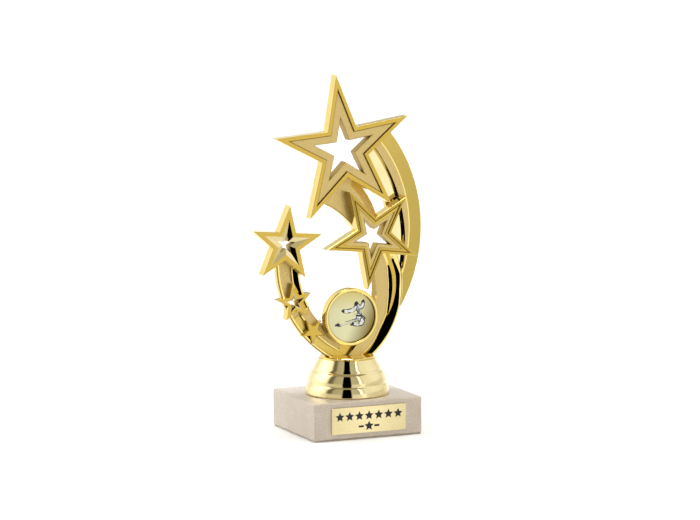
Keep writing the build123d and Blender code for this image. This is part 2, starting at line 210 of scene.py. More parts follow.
# Polished beige marble agglomerate: fine pale and brown grains under a hard gloss.
def agglomerateMarble():
    material, tree, shader, place = newMaterial("polished_beige_marble")
    cloud = span(tree, grain(tree, place, 9.0, 4.0))
    speckle = span(tree, grain(tree, place, 0.9, 3.0, 0.65), start=0.32, end=0.60)
    base = blend(tree, speckle, "#C2B2A0", blend(tree, cloud, "#CBBDAB", "#D5C9BA"))
    pits = span(tree, cells(tree, place, 1.6), 1, 0, 0.05, 0.16)
    picked = calculate(tree, "MULTIPLY", pits, grain(tree, place, 4.0))
    dark = span(tree, picked, 0, 0.55, 0.45, 0.75)
    fill(tree, shader, {"Base Color": blend(tree, dark, base, "#A08D79"), "Roughness": 0.17, "IOR": 1.49,
                        "Normal": bump(tree, grain(tree, place, 1.2, 3.0), 0.004)})
    return material


# Gold anodised aluminium sheet with a fine brush along its length.
def anodisedPlate():
    material, tree, shader, place = newMaterial("anodised_gold_plate")
    lengthways = addNode(tree, "ShaderNodeMapping", {"Vector": place, "Scale": (0.03, 1.0, 1.0)})
    brush = grain(tree, lengthways.outputs["Vector"], 0.25, 3.0, 0.7)
    fill(tree, shader, {
        "Base Color": blend(tree, span(tree, brush), "#FFF1BE", "#FBE7AA"), "Metallic": 1.0,
        "Roughness": span(tree, brush, 0.24, 0.36), "Normal": bump(tree, brush, 0.002)})
    return material


# White closed-cell foam tape: tiny cells along its cut edge.
def foamTape():
    material, tree, shader, place = newMaterial("white_foam_tape")
    bubbles = cells(tree, place, 0.25)
    fill(tree, shader, {
        "Base Color": blend(tree, span(tree, bubbles, start=0.1, end=0.6), "#CFCFC9", "#F0F0EC"),
        "Roughness": 0.8, "Normal": bump(tree, bubbles, 0.04)})
    return material


# Pale gold foil under a clear resin dome: satin metal with a soft coat. Painted shade darkens it
# along a line down to the right, and a little towards the top.
def emblemFoil(shape):
    material, tree, shader, place = newMaterial("emblem_foil")
    haze = grain(tree, place, 0.22, 3.0, 0.6)
    parts = addNode(tree, "ShaderNodeSeparateXYZ", {"Vector": place}).outputs
    size, left, rise = shape["disc"], shape["centre"][0], seat + shape["centre"][1]
    across = calculate(tree, "MULTIPLY_ADD", parts["X"], perMetre(size), -left / size)
    upwards = calculate(tree, "MULTIPLY_ADD", parts["Z"], perMetre(size), -rise / size)
    shadeSlant = calculate(tree, "MULTIPLY_ADD", across, 0.9, calculate(tree, "MULTIPLY", upwards, -0.43))
    foil = blend(tree, span(tree, haze), "#E4DFA8", "#F0ECC4")
    # Painted shade: the colour darkens towards the top, and more so down to the right.
    foil = blend(tree, span(tree, upwards, start=0.3, end=1.0), foil, "#D9C87A")
    foil = blend(tree, span(tree, shadeSlant, start=0.1, end=0.95), foil, "#8F7A34")
    fill(tree, shader, {"Base Color": foil, "Metallic": 1.0, "Roughness": 0.34, "Coat Weight": 0.6,
                        "Coat Roughness": 0.25, "Normal": bump(tree, haze, 0.006)})
    return material


# Screen-printed ink film: flat and matt, with slight mottling where it lies thin.
def printingInk(name, dark, pale):
    return grainy(name, (dark, pale), (0.35, 4.0), (0.2,), 0.002, 0.45)


marble = agglomerateMarble()
plateGold = anodisedPlate()
# Black enamel fill in the plate's engraving: semi-gloss, with a slight orange peel
enamel = grainy("black_enamel_fill", ("#101012", "#1C1B1D"), (0.5,), (0.3,), 0.003, 0.4)
# Pressed beige felt: matt fibres that catch light at the edges
felt = grainy("beige_felt", ("#B8A995", "#D2C6B4"), (0.18, 5.0, 0.7), (0.18, 5.0, 0.7), 0.12, 0.95,
              more={"Sheen Weight": 0.5, "Sheen Roughness": 0.4})
# Zinc-plated turned steel: pale grey with fine tool marks
steel = grainy("zinc_plated_steel", ("#B9BBC0", "#9A9DA3"), (0.4, 4.0), (0.4, 4.0), 0.01, (0.25, 0.4),
               more={"Metallic": 1.0})
foam = foamTape()
inkBlack = printingInk("black_ink", "#15161A", "#24262C")
inkWhite = printingInk("white_ink", "#DDE0E4", "#F2F3F2")
inkGrey = printingInk("blue_grey_ink", "#8E97A3", "#A9B1BB")
print("materials made:", len(bpy.data.materials))


# Four-sided faces that join every point of a rows by columns grid to the next row and column.
def gridQuads(rows, columns, closeRows=False, closeColumns=False):
    row = np.arange(rows if closeRows else rows - 1)[:, None]
    column = np.arange(columns if closeColumns else columns - 1)[None, :]
    nextRow, nextColumn = (row + 1) % rows, (column + 1) % columns
    corners = [row * columns + column, row * columns + nextColumn,
               nextRow * columns + nextColumn, nextRow * columns + column]
    return np.stack(corners, -1).reshape(-1, 4)


# Builds one piece from points in millimetres, on its materials, and ties it to the frame.
def makePiece(name, points, faces, finish, materials, slot, stands=(), sharp=28, bevel=None):
    mesh = bpy.data.meshes.new(name)
    mesh.from_pydata((np.asarray(points, float) * mm).tolist(), [], [list(map(int, face)) for face in faces])
    for material in materials:
        mesh.materials.append(material)
    mesh.polygons.foreach_set("material_index", np.asarray(finish, np.int32))
    shape = bmesh.new()
    shape.from_mesh(mesh)
    bmesh.ops.remove_doubles(shape, verts=shape.verts, dist=2e-6)
    bmesh.ops.dissolve_degenerate(shape, edges=shape.edges, dist=1e-6)
    bmesh.ops.recalc_face_normals(shape, faces=shape.faces)
    shape.to_mesh(mesh)
    shape.free()
    mesh.shade_smooth()
    mesh.set_sharp_from_angle(angle=np.radians(sharp))
    piece = bpy.data.objects.new(name, mesh)
    scene.collection.objects.link(piece)
    if bevel:
        rounding = piece.modifiers.new("edges", "BEVEL")
        rounding.width, rounding.segments = bevel * mm, 2
        rounding.limit_method, rounding.angle_limit = "ANGLE", np.radians(sharp)
        rounding.harden_normals = True
        rounding.use_clamp_overlap = True
    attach(piece, "root")
    if stands:
        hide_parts(*stands)
    return piece


# Puts several (points, faces, finish) shells into one set.
def joinShells(*shells):
    points, faces, finish, count = [], [], [], 0
    for shellPoints, shellFaces, shellFinish in shells:
        points.append(shellPoints)
        faces += [[index + count for index in face] for face in shellFaces]
        finish += list(shellFinish)
        count += len(shellPoints)
    return np.concatenate(points), faces, finish


# A straight-sided block: an outline of (x, z) at two distances forward, which may differ by point.
def prismShell(outline, low, high, finish=0):
    outline = np.asarray(outline, float)
    count = len(outline)
    points = np.concatenate([np.c_[outline[:, 0], -(level + 0 * outline[:, 0]), outline[:, 1]]
                             for level in (low, high)])
    faces = gridQuads(2, count, closeColumns=True).tolist()
    faces += [list(range(count)), list(range(count, 2 * count))]
    return points, faces, np.full(len(faces), finish)


# A profile of (radius, height) carried round an axis: x = r cos a and y = r sin a, at each height.
# alongY turns it to face forward, so that the height becomes the distance forward.
def turnedShell(profile, finishes, centre, alongY=False, segments=192, closed=True):
    profile = np.asarray(profile, float)
    angle = np.linspace(0, 2 * np.pi, segments, endpoint=False)
    across = profile[:, :1] * np.cos(angle)
    around = profile[:, :1] * np.sin(angle)
    height = np.repeat(profile[:, 1:], segments, 1)
    if alongY:
        points = np.stack([centre[0] + across, -height, centre[1] + around], -1)
    else:
        points = np.stack([centre[0] + across, centre[1] + around, height], -1)
    faces = gridQuads(len(profile), segments, closeRows=closed, closeColumns=True)
    finish = np.repeat(finishes, segments)[:len(faces)]
    return points.reshape(-1, 3), faces.tolist(), finish


# Each point is a corner block's centre plus the radius in every direction, so that flat faces
# lie between quarter-round edges and corners.
def roundedBoxShell(size, centre, radius, steps=6):
    quarter = np.linspace(0, np.pi / 2, steps)
    azimuth = np.concatenate([quarter + k * np.pi / 2 for k in range(4)])
    signX = np.repeat([1, -1, -1, 1], steps)
    signY = np.repeat([1, 1, -1, -1], steps)
    lift = np.concatenate([quarter - np.pi / 2, quarter])
    signZ = np.repeat([-1, 1], steps)
    half = np.asarray(size, float) / 2 - radius
    flat = np.cos(lift)[:, None]
    x = centre[0] + signX * half[0] + radius * flat * np.cos(azimuth)
    y = centre[1] + signY * half[1] + radius * flat * np.sin(azimuth)
    z = centre[2] + (signZ * half[2] + radius * np.sin(lift))[:, None] + 0 * x
    rows, columns = z.shape
    faces = gridQuads(rows, columns, closeColumns=True).tolist()
    faces += [list(range(columns)), list(range((rows - 1) * columns, rows * columns))]
    return np.stack([x, y, z], -1).reshape(-1, 3), faces, np.zeros(len(faces), int)


# How far a star's edges lie from its centre: tip times notch times sin 36, over the edge's length.
def starScale(star):
    tip, notch, fifth = star["tip"], star["notch"], np.radians(36)
    return tip * notch * np.sin(fifth) / np.hypot(tip * np.sin(fifth), tip * np.cos(fifth) - notch)


# Corners of the star whose edges lie inset inside the outline: the outline shrunk about its centre.
def starRing(star, inset):
    corner = np.arange(10)
    angle = np.radians(90 + star["turn"] + 36 * corner)
    reach = np.where(corner % 2, star["notch"], star["tip"])
    share = 1 - np.asarray(inset, float)[..., None] / starScale(star)
    x = figureShift + star["centre"][0] + share * reach * np.cos(angle)
    z = seat + star["centre"][1] + share * reach * np.sin(angle)
    return x, z


# The star's outline at each run's inset and distance forward, joined ring to ring. Each run also
# gives the finish up to the next one.
def starPiece(name, node, star, runs, closed=True, **making):
    inset, level, kinds = zip(*runs)
    x, z = starRing(star, inset)
    points = np.stack([x, -np.repeat(np.array(level)[:, None], 10, 1), z], -1).reshape(-1, 3)
    faces = gridQuads(len(runs), 10, closeRows=closed, closeColumns=True).tolist()
    finish = list(np.repeat(kinds, 10)[:len(faces)])
    if not closed:
        faces += [list(range(10)), list(range(len(points) - 10, len(points)))]
        finish += [kinds[0], kinds[-1]]
    makePiece(name, points, faces, finish, goldSet, "gold_figure", [node], **making)


bigStar = {"centre": (-6.3, 104.4), "tip": 38.2, "notch": 13.35, "turn": 6.9,
           "rim": 2.0, "frame": 6.0, "recess": 0.8, "draft": 0.04, "backRim": 1.6, "backRecess": 0.5}
middleStar = {"centre": (9.8, 60.2), "tip": 26.6, "notch": 9.8, "turn": 29.4,
              "frame": 4.7, "draft": 0.04, "groove": 1.35, "step": 2.95, "backRim": 1.2, "backRecess": 0.4}
smallStar = {"centre": (-37.7, 58.9), "tip": 19.6, "notch": 7.6, "turn": -5.3,
             "rim": 2.15, "frame": 4.6, "funnel": 1.25, "draft": 0.04}
tinyStar = {"centre": (-31.7, 29.1), "tip": 9.7, "notch": 4.0, "turn": 9.0,
            "rim": 1.4, "frame": 2.0, "funnel": 0.45, "draft": 0.03}
reliefStar = {"centre": (-21.4, 13.7), "tip": 7.2, "notch": 2.9, "turn": 34.0}


def makeBigStar(star):
    front, back, draft = starFront, ribbonFront, star["draft"]
    floor, under = front - star["recess"], back + star["backRecess"]
    rim, whole, backRim = star["rim"], star["frame"], star["backRim"]
    runs = [(0, back, polished), (draft, front - 0.22, satin), (draft + 0.1, front - 0.1, satin),
            (rim - 0.15, front, satin), (rim, front - 0.1, shaded), (rim + 0.06, floor - 0.35, shaded),
            (rim + 0.26, floor - 0.35, shaded), (rim + 0.36, floor, sanded), (whole - 0.35, floor + 0.05, sanded),
            (whole, floor - 0.25, shaded), (whole, back, polished), (whole - backRim + 0.5, back, polished),
            (whole - backRim + 0.4, under, sanded), (backRim + 0.1, under, polished), (backRim, back, polished)]
    starPiece("bigStarFrame", "big_star", star, runs, sharp=14, bevel=0.05)


def makeMiddleStar(star):
    front, back, draft, backRim = starFront, ribbonFront, star["draft"], star["backRim"]
    groove, step, whole, under = star["groove"], star["step"], star["frame"], back + star["backRecess"]
    runs = [(0, back, polished), (draft, front - 0.5, polished), (draft + 0.16, front - 0.3, satin),
            (groove - 0.1, front, satin), (groove, front - 0.1, shaded), (groove + 0.05, front - 0.8, shaded),
            (groove + 0.3, front - 0.8, shaded), (groove + 0.4, front - 0.25, satin),
            (step - 0.1, front - 0.05, shaded), (step, front - 0.4, polished), (step + 0.1, front - 0.45, sanded),
            (whole - 0.3, front - 0.6, satin), (whole, front - 0.85, shaded), (whole, back, polished),
            (whole - backRim, back, polished), (whole - backRim - 0.1, under, sanded),
            (backRim + 0.1, under, polished), (backRim, back, polished)]
    starPiece("middleStarFrame", "middle_star", star, runs, sharp=14, bevel=0.05)


def makeSmallStar(star):
    front, back, draft, whole = starFront, ribbonFront, star["draft"], star["frame"]
    slope = front - star["funnel"]
    runs = [(0, back, polished), (draft, front - 0.12, satin), (draft + 0.08, front, satin),
            (star["rim"], front, mirror), (whole, slope, shaded), (whole + 0.05, slope - 0.1, shaded),
            (whole, back, polished), (2.3, back, polished), (2.2, back + 0.4, sanded),
            (1.3, back + 0.4, polished), (1.2, back, polished)]
    starPiece("smallStarFrame", "small_star", star, runs, sharp=14, bevel=0.05)


def makeTinyStar(star):
    front, back, draft, whole = tinyFront, tinyBack, star["draft"], star["frame"]
    runs = [(0, back, polished), (draft, front - 0.1, satin), (draft + 0.06, front, satin),
            (star["rim"], front, mirror), (whole, front - star["funnel"], shaded), (whole, back, polished)]
    starPiece("tinyStarFrame", "tiny_star", star, runs, sharp=14, bevel=0.04)


def makeReliefStar(star):
    runs = [(0, ribbonFront - 1.0, polished), (0.1, reliefFront - 0.35, satin), (0.4, reliefFront, satin)]
    starPiece("reliefStarBoss", "relief_star", star, runs, closed=False, bevel=0.08)


makeBigStar(bigStar)
makeMiddleStar(middleStar)
makeSmallStar(smallStar)
makeTinyStar(tinyStar)
makeReliefStar(reliefStar)
print("stars made")


# Distance from a centre, along each angle, to the far side of a circle given as x, z, radius.
def circleReach(centre, circle, angle):
    dx, dz = circle[0] - centre[0], circle[1] - centre[1]
    along = dx * np.cos(angle) + dz * np.sin(angle)
    return along + np.sqrt(circle[2] ** 2 - (dx ** 2 + dz ** 2 - along ** 2))


# Distance from a centre, along each angle, to straight runs between corners: the sine rule in the
# triangle of the centre and each run's two ends.
def outlineReach(centre, corners, angle):
    corners = np.asarray(corners, float) - centre
    reach, bearing = np.hypot(*corners.T), np.arctan2(corners[:, 1], corners[:, 0])
    bearing = np.where(bearing - angle.mean() > np.pi, bearing - 2 * np.pi, bearing)
    bearing = np.where(bearing - angle.mean() < -np.pi, bearing + 2 * np.pi, bearing)
    order = np.argsort(bearing)
    reach, bearing = reach[order], bearing[order]
    run = np.clip(np.searchsorted(bearing, angle) - 1, 0, len(reach) - 2)
    start, end = bearing[run], bearing[run + 1]
    inverse = (np.sin(end - angle) / reach[run] + np.sin(angle - start) / reach[run + 1]) / np.sin(end - start)
    return 1 / inverse


# A band's centre, radius, angles, heights, and how far its outer and inner edges reach from the
# centre: two circles, with straight runs between corners in their place from one angle to another.
def bandEdges(shape):
    centre, radius = np.array(shape["outer"][:2]), shape["outer"][2]
    angle = np.radians(np.linspace(shape["start"], shape["end"], shape["rows"]))
    far, near = np.full(len(angle), radius), circleReach(centre, shape["inner"], angle)
    for reach, runs in ((far, shape["farRuns"]), (near, shape["nearRuns"])):
        for low, high, corners in runs:
            on = (angle > np.radians(low)) & (angle < np.radians(high))
            reach[on] = outlineReach(centre, corners, angle[on])
    return centre, radius, angle, centre[1] + radius * np.sin(angle), far, near


# Points at each column's distance from the centre along each angle, with their distance forward:
# x = cx + r cos a, z = cz + r sin a. The columns close into a loop, and both ends are capped.
def bandShell(centre, angle, columns, forward, finishes, capFinish=polished):
    x = figureShift + centre[0] + columns * np.cos(angle)[:, None]
    z = seat + centre[1] + columns * np.sin(angle)[:, None]
    points = np.stack([x, -forward, z], -1)
    rows, count = columns.shape
    faces = gridQuads(rows, count, closeColumns=True).tolist()
    finish = finishes.reshape(-1).tolist()
    faces += [list(range(count)), list(range((rows - 1) * count, rows * count))]
    finish += [capFinish, capFinish]
    return points.reshape(-1, 3), faces, finish


# Level at each distance on a line of straight runs, row by row: the first level, plus each run's
# rise times the share of the run that lies before the distance.
def levelAt(distance, knots, levels):
    run = np.maximum(np.diff(knots, axis=1), 1e-6)
    share = np.clip((distance[:, :, None] - knots[:, None, :-1]) / run[:, None, :], 0, 1)
    return levels[:, :1] + (share * np.diff(levels, axis=1)[:, None, :]).sum(-1)


# Builds a ribbon's band. The front's runs are knots (distance from the outer circle, level, finish of
# the run that follows), and the back's are the same from the outline's own edge. Both are trimmed to
# what the outline leaves, between outside and inside, and the runs go back then front.
def ribbonPiece(name, node, shape, angle, outside, inside, front, back):
    rows = len(angle)

    def stacked(runs, index):
        return np.stack([np.broadcast_to(run[index], rows) for run in runs], 1)

    knots = np.maximum.accumulate(stacked(front, 0), axis=1)
    reached = np.clip(knots, outside[:, None], inside[:, None])
    behind = np.clip(stacked(back, 0) + outside[:, None], outside[:, None], inside[:, None])
    columns = np.concatenate([behind, reached], 1)
    forward = np.concatenate([stacked(back, 1), levelAt(reached, knots, stacked(front, 1))], 1)
    finishes = np.concatenate([stacked(back, 2), stacked(front, 2)], 1)[:-1]
    radius = shape["outer"][2]
    return makePiece(name, *bandShell(shape["outer"][:2], angle, radius - columns, forward, finishes),
                     goldSet, "gold_figure", [node], sharp=14, bevel=0.05)


def smoothStep(value, start, end):
    share = np.clip((value - start) / (end - start), 0, 1)
    return share * share * (3 - 2 * share)


# Takes a straight-sided block, given by its outline and two distances forward, out of a piece.
def cutAway(piece, outline, low, high):
    points, faces, _ = prismShell(outline, low, high)
    mesh = bpy.data.meshes.new("cutter")
    mesh.from_pydata((points * mm).tolist(), [], faces)
    shape = bmesh.new()
    shape.from_mesh(mesh)
    bmesh.ops.recalc_face_normals(shape, faces=shape.faces)
    shape.to_mesh(mesh)
    shape.free()
    for material in piece.data.materials:
        mesh.materials.append(material)
    cutter = bpy.data.objects.new("cutter", mesh)
    scene.collection.objects.link(cutter)
    others = list(piece.modifiers)
    for other in others:
        other.show_viewport = False
    cut = piece.modifiers.new("cut", "BOOLEAN")
    cut.operation, cut.solver, cut.object = "DIFFERENCE", "EXACT", cutter
    bpy.context.view_layer.update()
    done = bpy.data.meshes.new_from_object(piece.evaluated_get(bpy.context.evaluated_depsgraph_get()))
    piece.modifiers.remove(cut)
    for other in others:
        other.show_viewport = True
    piece.data = done
    done.set_sharp_from_angle(angle=np.radians(14))
    bpy.data.objects.remove(cutter)


leftRibbon = {"outer": (17.4, 49.7, 58.2), "inner": (15.0, 47.4, 43.6),
              "start": 177.2, "end": 244.25, "rows": 200,
              "rim": 1.45, "channelNear": 0.9, "channelFar": 3.6, "ridge": 4.2,
              "bandDrop": 1.3, "facing": 24.4, "fadeStart": 21.0, "fadeEnd": 18.5,
              "backDepth": 2.0, "backWidth": 1.5,
              "nearRuns": [(225.38, 360, [(-15.56, 16.3), (-9.5, 17.8), (-3.5, 10.8), (-3.5, 6.3)])],
              "farRuns": [(238.64, 360, [(-12.88, 0), (-10.2, 0), (-3.5, 6.3)])]}


def makeLeftRibbon(ribbon):
    radius, angle, height, far, near = bandEdges(ribbon)[1:]
    near = np.minimum(near, far - 0.02)
    width = far - near
    outside, inside = radius - far, radius - near  # what the foot's outline leaves of the ribbon
    rim, ridge = ribbon["rim"], ribbon["ridge"]
    low, fade = ribbon["bandDrop"], smoothStep(height, ribbon["fadeEnd"], ribbon["fadeStart"])
    top = ribbonFront

    # The channel's facet always faces the same way round the upright axis: its slope is the tangent
    # of that way over the cosine of the ribbon's lean
    channelNear, channelFar = ribbon["channelNear"], ribbon["channelFar"]
    slope = np.tan(np.radians(ribbon["facing"])) / np.maximum(-np.cos(angle), 0.45)
    channelDrop = np.minimum(slope * (channelFar - channelNear), 2.4) * fade

    def kind(whole, faded):
        return np.where(fade > 0.5, whole, faded)

    # Below the tiny star the channel runs out and the outer part of the band sinks deeper
    rimFoot, flat, shelf = low + 0.5 * (1 - fade), low * (1 - fade), low * (1 - fade) + 0.05 * fade
    ridgeDrop = low - (low - 0.15) * (1 - fade)
    front = [(0.0, top - 0.6, shaded), (0.5, top, polished), (rim - 0.1, top, shaded),
             (rim + 0.02, top - rimFoot - 0.2, shaded), (rim + 0.25, top - rimFoot, kind(sanded, bevelled)),
             (5.2, top - rimFoot, kind(sanded, shaded)), (5.35, top - ridgeDrop, kind(sanded, polished)),
             (5.95, top - ridgeDrop, kind(sanded, shaded)), (6.1, top - low, sanded),
             (inside - ridge - 0.1, top - low, kind(polished, sanded)),
             (inside - ridge, top - shelf, kind(polished, sanded)),
             (inside - channelFar - 0.15, top - shelf, kind(shaded, sanded)),
             (inside - channelFar, top - flat - channelDrop, kind(polished, sanded)),
             (inside - channelNear, top - flat, kind(polished, sanded)),
             (inside - 0.25, top - flat, kind(polished, sanded)), (inside, top - flat - 0.25, shaded)]
    bevelWidth = ribbon["backWidth"]
    back = [(width, ribbonBack, polished), (width - 1.2, ribbonBack, polished),
            (width - 1.35, ribbonBack + 0.4, sanded), (bevelWidth + 1.75, ribbonBack + 0.4, polished),
            (bevelWidth + 1.6, ribbonBack, polished), (bevelWidth, ribbonBack, polished),
            (0.0, ribbonBack + ribbon["backDepth"], polished)]
    piece = ribbonPiece("leftRibbonBand", "left_ribbon", ribbon, angle, outside, inside, front, back)
    pocket = np.stack(starRing(tinyStar, 0.3), -1)
    hole = np.stack(starRing(tinyStar, tinyStar["frame"]), -1)
    for outline, low, high in ((pocket, tinyBack + 0.05, ribbonFront + 1),
                               (hole, ribbonBack - 1, tinyBack + 0.5)):
        cutAway(piece, outline, low, high)


rightRibbon = {"outer": (-17.75, 33.84, 45.86), "inner": (-29.4, 32.4, 43.1),
               "start": 25.25, "end": -64.3, "rows": 220,
               "heights": (0.0, 9.0, 17.8, 22.9, 31.4, 39.9, 47.0), "edge": (1.2, 0.9, 0.8, 0.8, 1.5, 0.9, 2.4),
               "landNear": (3.2, 4.9, 5.1, 4.3, 3.5, 3.3, 3.8),
               "landFar": (3.25, 4.95, 5.15, 5.6, 5.4, 5.3, 5.8),
               "secondEnd": (4.5, 6.1, 6.1, 6.9, 7.5, 7.4, 6.7),
               "joinHeight": 15.0, "topHeights": (51.5, 49.0), "facing": 24.4,
               "nearRuns": [(10.0, 90, [(12.55, 48.1), (11.5, 47.0), (8.4, 43.3), (13.15, 39.3)]),
                            (-90, -14.9, [(13.16, 25.6), (8.0, 22.8), (2.0, 10.8), (3.5, 6.3), (-1.5, 0)])],
               "farRuns": [(-90, -47.55, [(13.2, 0), (-1.5, 0)])]}


def makeRightRibbon(ribbon):
    radius, angle, height, far, near = bandEdges(ribbon)[1:]
    near = np.minimum(near, far - 0.02)
    width, outside, inside = far - near, radius - far, radius - near
    # The land between the two grooves narrows and sinks to a point, so that they end as one facet
    edge, landNear, landFar, secondEnd = (np.interp(height, ribbon["heights"], ribbon[name])
                                          for name in ("edge", "landNear", "landFar", "secondEnd"))
    # Each groove is a steep wall and a long facet that always faces the same way round the upright
    # axis: its slope is the tangent of that way over the cosine of the ribbon's lean
    slope = np.tan(np.radians(ribbon["facing"])) / np.maximum(np.cos(angle), 0.5)
    firstOpen, secondOpen = (smoothStep(height, end, end - 4) for end in ribbon["topHeights"])
    firstDrop = slope * (landNear - edge) * firstOpen
    landDrop = slope * (landNear - edge) * smoothStep(height, ribbon["joinHeight"] + 3.5, ribbon["joinHeight"])
    secondDrop = landDrop + slope * (secondEnd - landFar) * secondOpen
    # Each run here: distance from the outer circle, drop from the front, and the finish
    front = [(0.0, 0.3, polished), (0.3, 0.0, polished), (edge, 0.0, polished),
             (landNear - 0.04, firstDrop, shaded), (landNear, landDrop, satin), (landFar, landDrop, polished),
             (secondEnd - 0.04, secondDrop, shaded), (secondEnd, 0.0, polished),
             (secondEnd + 0.5, 0.0, polished), (secondEnd + 0.6, 0.25, sanded),
             (inside - 0.35, 0.25, polished), (inside, 0.5, shaded)]
    front = [(distance, np.maximum(ribbonFront - drop, ribbonBack + 1.2), kind)
             for distance, drop, kind in front]
    back = [(width, ribbonBack, polished), (width - 1.3, ribbonBack, polished),
            (width - 1.45, ribbonBack + 0.4, sanded), (1.75, ribbonBack + 0.4, polished),
            (1.6, ribbonBack, polished), (0.0, ribbonBack, polished)]
    ribbonPiece("rightRibbonBand", "right_ribbon", ribbon, angle, outside, inside, front, back)


upperRibbon = {"centre": (-30.0, 50.0), "start": 21.3, "end": 71.2, "rows": 120,
               "nearArc": ((2.8, 62.8), (-7.1, 73.0), (-19.8, 79.3)),
               "farArc": ((2.5, 88.8), (10.0, 79.8), (14.6, 69.3)),
               "farEnd": [(2.5, 88.8), (2.2, 91.8), (-3.0, 92.8), (-11.5, 87.4), (-14.5, 87.8), (-18.2, 86.3)],
               "edge": 4.2, "edgeDrop": 1.2,
               "notch": [(2.0, 60.5), (2.8, 62.8), (3.2, 66.8), (4.6, 72.6), (10.0, 69.8), (14.6, 69.3),
                         (18.0, 60.0)]}


# Centre and radius of the circle through three points, from the two lines half way between them.
def circleThrough(points):
    a, b, c = (np.array(point, float) for point in points)
    sides = 2 * np.array([b - a, c - a])
    centre = np.linalg.solve(sides, [b @ b - a @ a, c @ c - a @ a])
    return (*centre, np.hypot(*(a - centre)))


def makeUpperRibbon(ribbon):
    centre = np.array(ribbon["centre"])
    angle = np.radians(np.linspace(ribbon["start"], ribbon["end"], ribbon["rows"]))
    near = circleReach(centre, circleThrough(ribbon["nearArc"]), angle)
    far = circleReach(centre, circleThrough(ribbon["farArc"]), angle)
    turned = angle > np.arctan2(38.8, 32.5)
    far[turned] = outlineReach(centre, ribbon["farEnd"], angle[turned])
    far = np.maximum(far, near + 0.05)
    edge = ribbon["edge"] * smoothStep(angle, np.radians(62), np.radians(50))
    raised, sunk = ribbonFront - 0.15, ribbonFront - ribbon["edgeDrop"]
    # Each run: distance from the centre, distance forward, and the finish up to the next run
    runs = [(far, ribbonBack, polished), (far - 1.2, ribbonBack, polished),
            (far - 1.35, ribbonBack + 0.4, sanded), (near + 1.35, ribbonBack + 0.4, polished),
            (near + 1.2, ribbonBack, polished), (near, ribbonBack, polished), (near, ribbonFront - 0.5, satin),
            (near + 0.45, raised, sanded), (far - edge - 0.25, raised, polished),
            (far - edge, ribbonFront, sanded), (far - 0.3, sunk, polished), (far, sunk - 0.3, polished)]
    columns, levels, kinds = zip(*runs)
    columns = np.clip(np.stack(columns, 1), near[:, None], far[:, None])
    forward = np.tile(levels, (len(angle), 1))
    finishes = np.tile(kinds, (len(angle) - 1, 1))
    piece = makePiece("upperRibbonBand", *bandShell(centre, angle, columns, forward, finishes),
                      goldSet, "gold_figure", ["upper_ribbon"], bevel=0.06)
    cutAway(piece, np.array(ribbon["notch"]) + [figureShift, seat], ribbonBack - 1, ribbonFront + 1)


crescent = {"outer": (-38.0, 63.0, 77.8), "step": (-49.2, 56.3, 78.4), "inner": (-104.7, 43.8, 128.6),
            "start": 43.7, "end": -31.1, "rows": 220, "bevel": 7.6, "bevelDrop": 2.4, "strip": 2.0,
            "facet": ((38.0, 58.0, 80.0, 100.0), (0.45, 0.6, 0.45, 0.3)), "facing": 24.4, "ridge": 0.5,
            "ribbonTop": -8.84, "farRuns": [],
            "nearRuns": [(16.9, 90, [(13.2, 112.8), (11.5, 108.0), (6.8, 102.6), (10.8, 91.8), (18.64, 80.2)])]}


def makeCrescent(shape):
    centre, radius, angle, height, far, near = bandEdges(shape)
    beside = angle < np.radians(shape["ribbonTop"])
    near[beside] = np.maximum(near, circleReach(centre, rightRibbon["outer"], np.minimum(angle, 0)))[beside]
    near = np.minimum(near, far - 0.02)
    width, bevel, top = far - near, shape["bevel"], ribbonFront
    step = np.maximum(radius - circleReach(centre, shape["step"], angle), bevel + 0.02)
    # The strip sinks to its full depth as the land beside it widens, and closes again at its lower end
    opened = np.where(height > 40, 1.0, smoothStep(step - bevel, 0.3, 2.0)) * smoothStep(height, 36, 42)
    low, deep = top - shape["bevelDrop"], top - shape["strip"] * opened
    facet = np.interp(height, *shape["facet"])
    facetDrop = np.tan(np.radians(shape["facing"])) / np.cos(angle) * facet
    reach = np.minimum(bevel, width)
    crest = top - shape["bevelDrop"] * (1 - reach / bevel)
    # Each run: distance from the outer edge, distance forward, and the finish up to the next run
    runs = [(width, ribbonBack, polished), (width - 1.3, ribbonBack, polished),
            (width - 1.45, ribbonBack + 0.4, sanded), (np.minimum(1.75, width / 2), ribbonBack + 0.4, polished),
            (np.minimum(1.6, width / 2), ribbonBack, polished), (0.0, ribbonBack, polished),
            (0.0, low - 0.25, polished), (0.3, low, bevelled), (reach - 0.1, crest, polished),
            (reach + shape["ridge"], crest, sanded), (step - facet, top, polished),
            (step, top - facetDrop * opened, polished), (step + 0.06, deep, mirror),
            (width - 0.3, deep, polished), (width, deep - 0.3, polished)]
    columns = np.stack([np.clip(distance + 0 * angle, 0, width) for distance, _, _ in runs], 1)
    forward = np.stack([level + 0 * angle for _, level, _ in runs], 1)
    finishes = np.tile([kind for _, _, kind in runs], (len(angle) - 1, 1))
    makePiece("outerCrescentBand", *bandShell(centre, angle, radius - columns, forward, finishes),
              goldSet, "gold_figure", ["outer_crescent"], sharp=14, bevel=0.05)


makeLeftRibbon(leftRibbon)
makeRightRibbon(rightRibbon)
makeUpperRibbon(upperRibbon)
makeCrescent(crescent)
print("ribbons made")


riserShape = {"topRadius": 14.4, "footRadius": 21.35, "lip": 0.6, "oneRadius": 17.7, "twoRadius": 20.05,
              "oneDrop": 6.0, "twoDrop": 12.4, "grooveWidth": 0.7, "grooveDepth": 0.24,
              "wall": 1.7, "roof": 2.2, "socket": 7.6}


